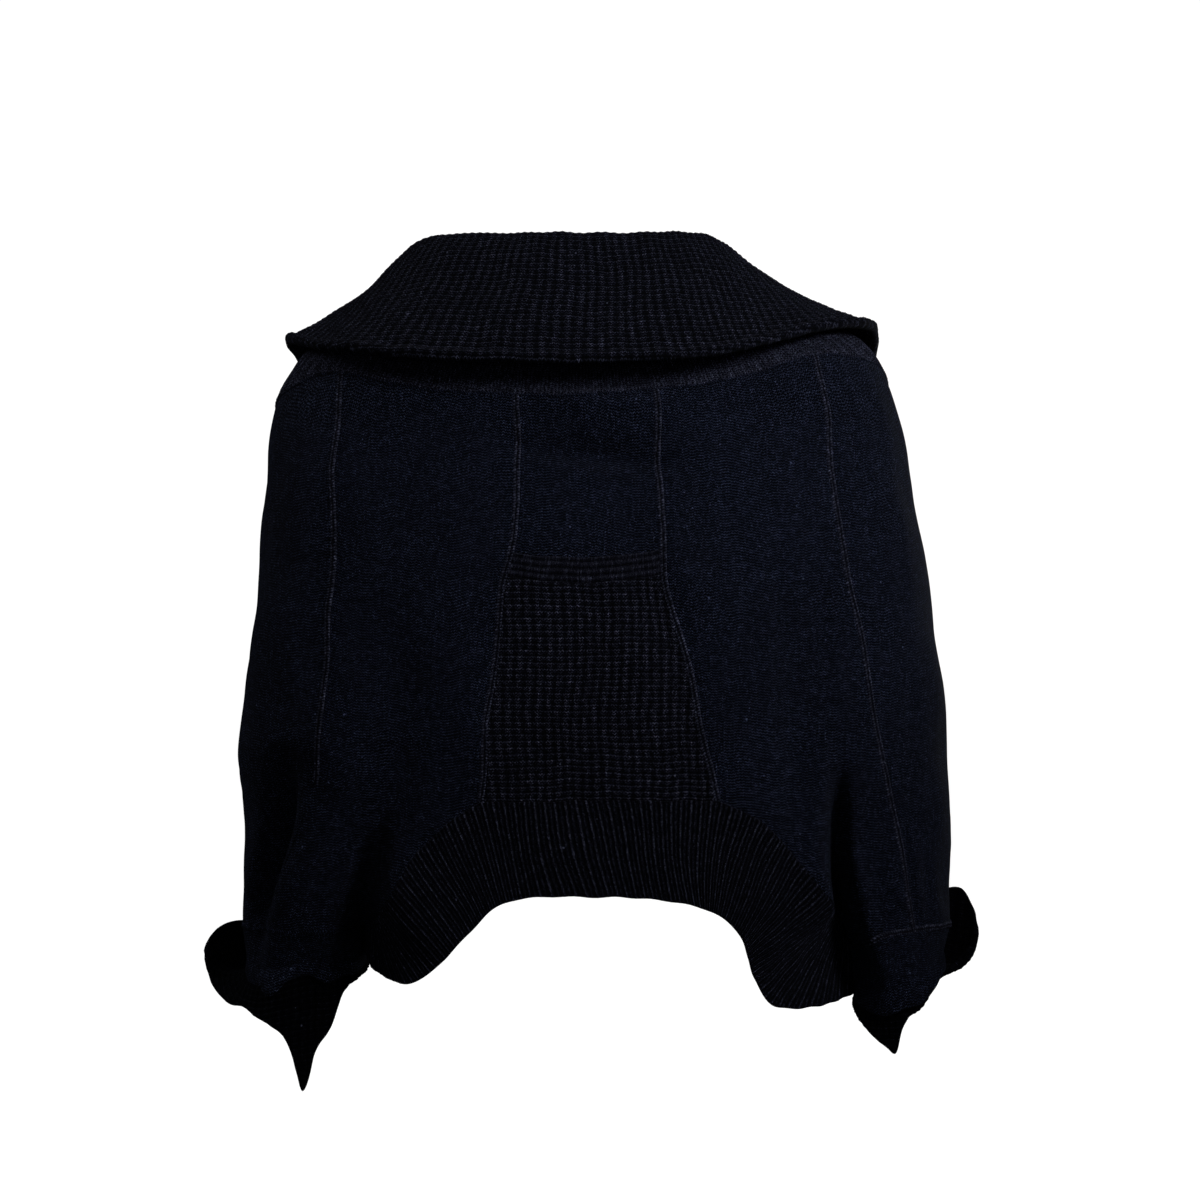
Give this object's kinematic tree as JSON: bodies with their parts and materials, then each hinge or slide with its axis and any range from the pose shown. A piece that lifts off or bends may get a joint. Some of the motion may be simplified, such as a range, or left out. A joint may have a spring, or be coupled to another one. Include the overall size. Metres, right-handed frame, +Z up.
{
  "type": "cardigan",
  "caption": "Cropped cocoon cardigan, open in front, with a wide fold-over shawl collar, deep sleeves with turned-out cuffs, a panelled back and an arched ribbed hem band.",
  "frame": {"origin": "base of the neck, midway between the shoulders that hold the cardigan up", "axes": "+Z up, the open front faces -Y, the wearer's left is +X"},
  "size_m": [0.5947, 0.3139, 0.6271],
  "materials": {
    "jersey": "matt fine-gauge wool jersey, nearly black navy, with a soft nap",
    "rib": "matt wool rib knit, nearly black navy",
    "waffle": "matt wool waffle knit, nearly black navy"
  },
  "bodies": {
    "root": {"collar": "waffle", "shoulder_yoke": "rib", "back_centre_upper": "jersey", "back_tuck_band": "jersey", "back_centre_lower": "waffle", "back_side_left": "jersey", "back_side_right": "jersey", "sleeve_left": "jersey", "sleeve_right": "jersey", "sleeve_end_left": "jersey", "sleeve_end_right": "jersey", "cuff_left": "waffle", "cuff_right": "waffle", "front_left": "jersey", "front_right": "jersey", "front_band_left": "rib", "front_band_right": "rib", "hem_band_back": "rib", "hem_band_front_left": "rib", "hem_band_front_right": "rib"}
  },
  "joints": []
}
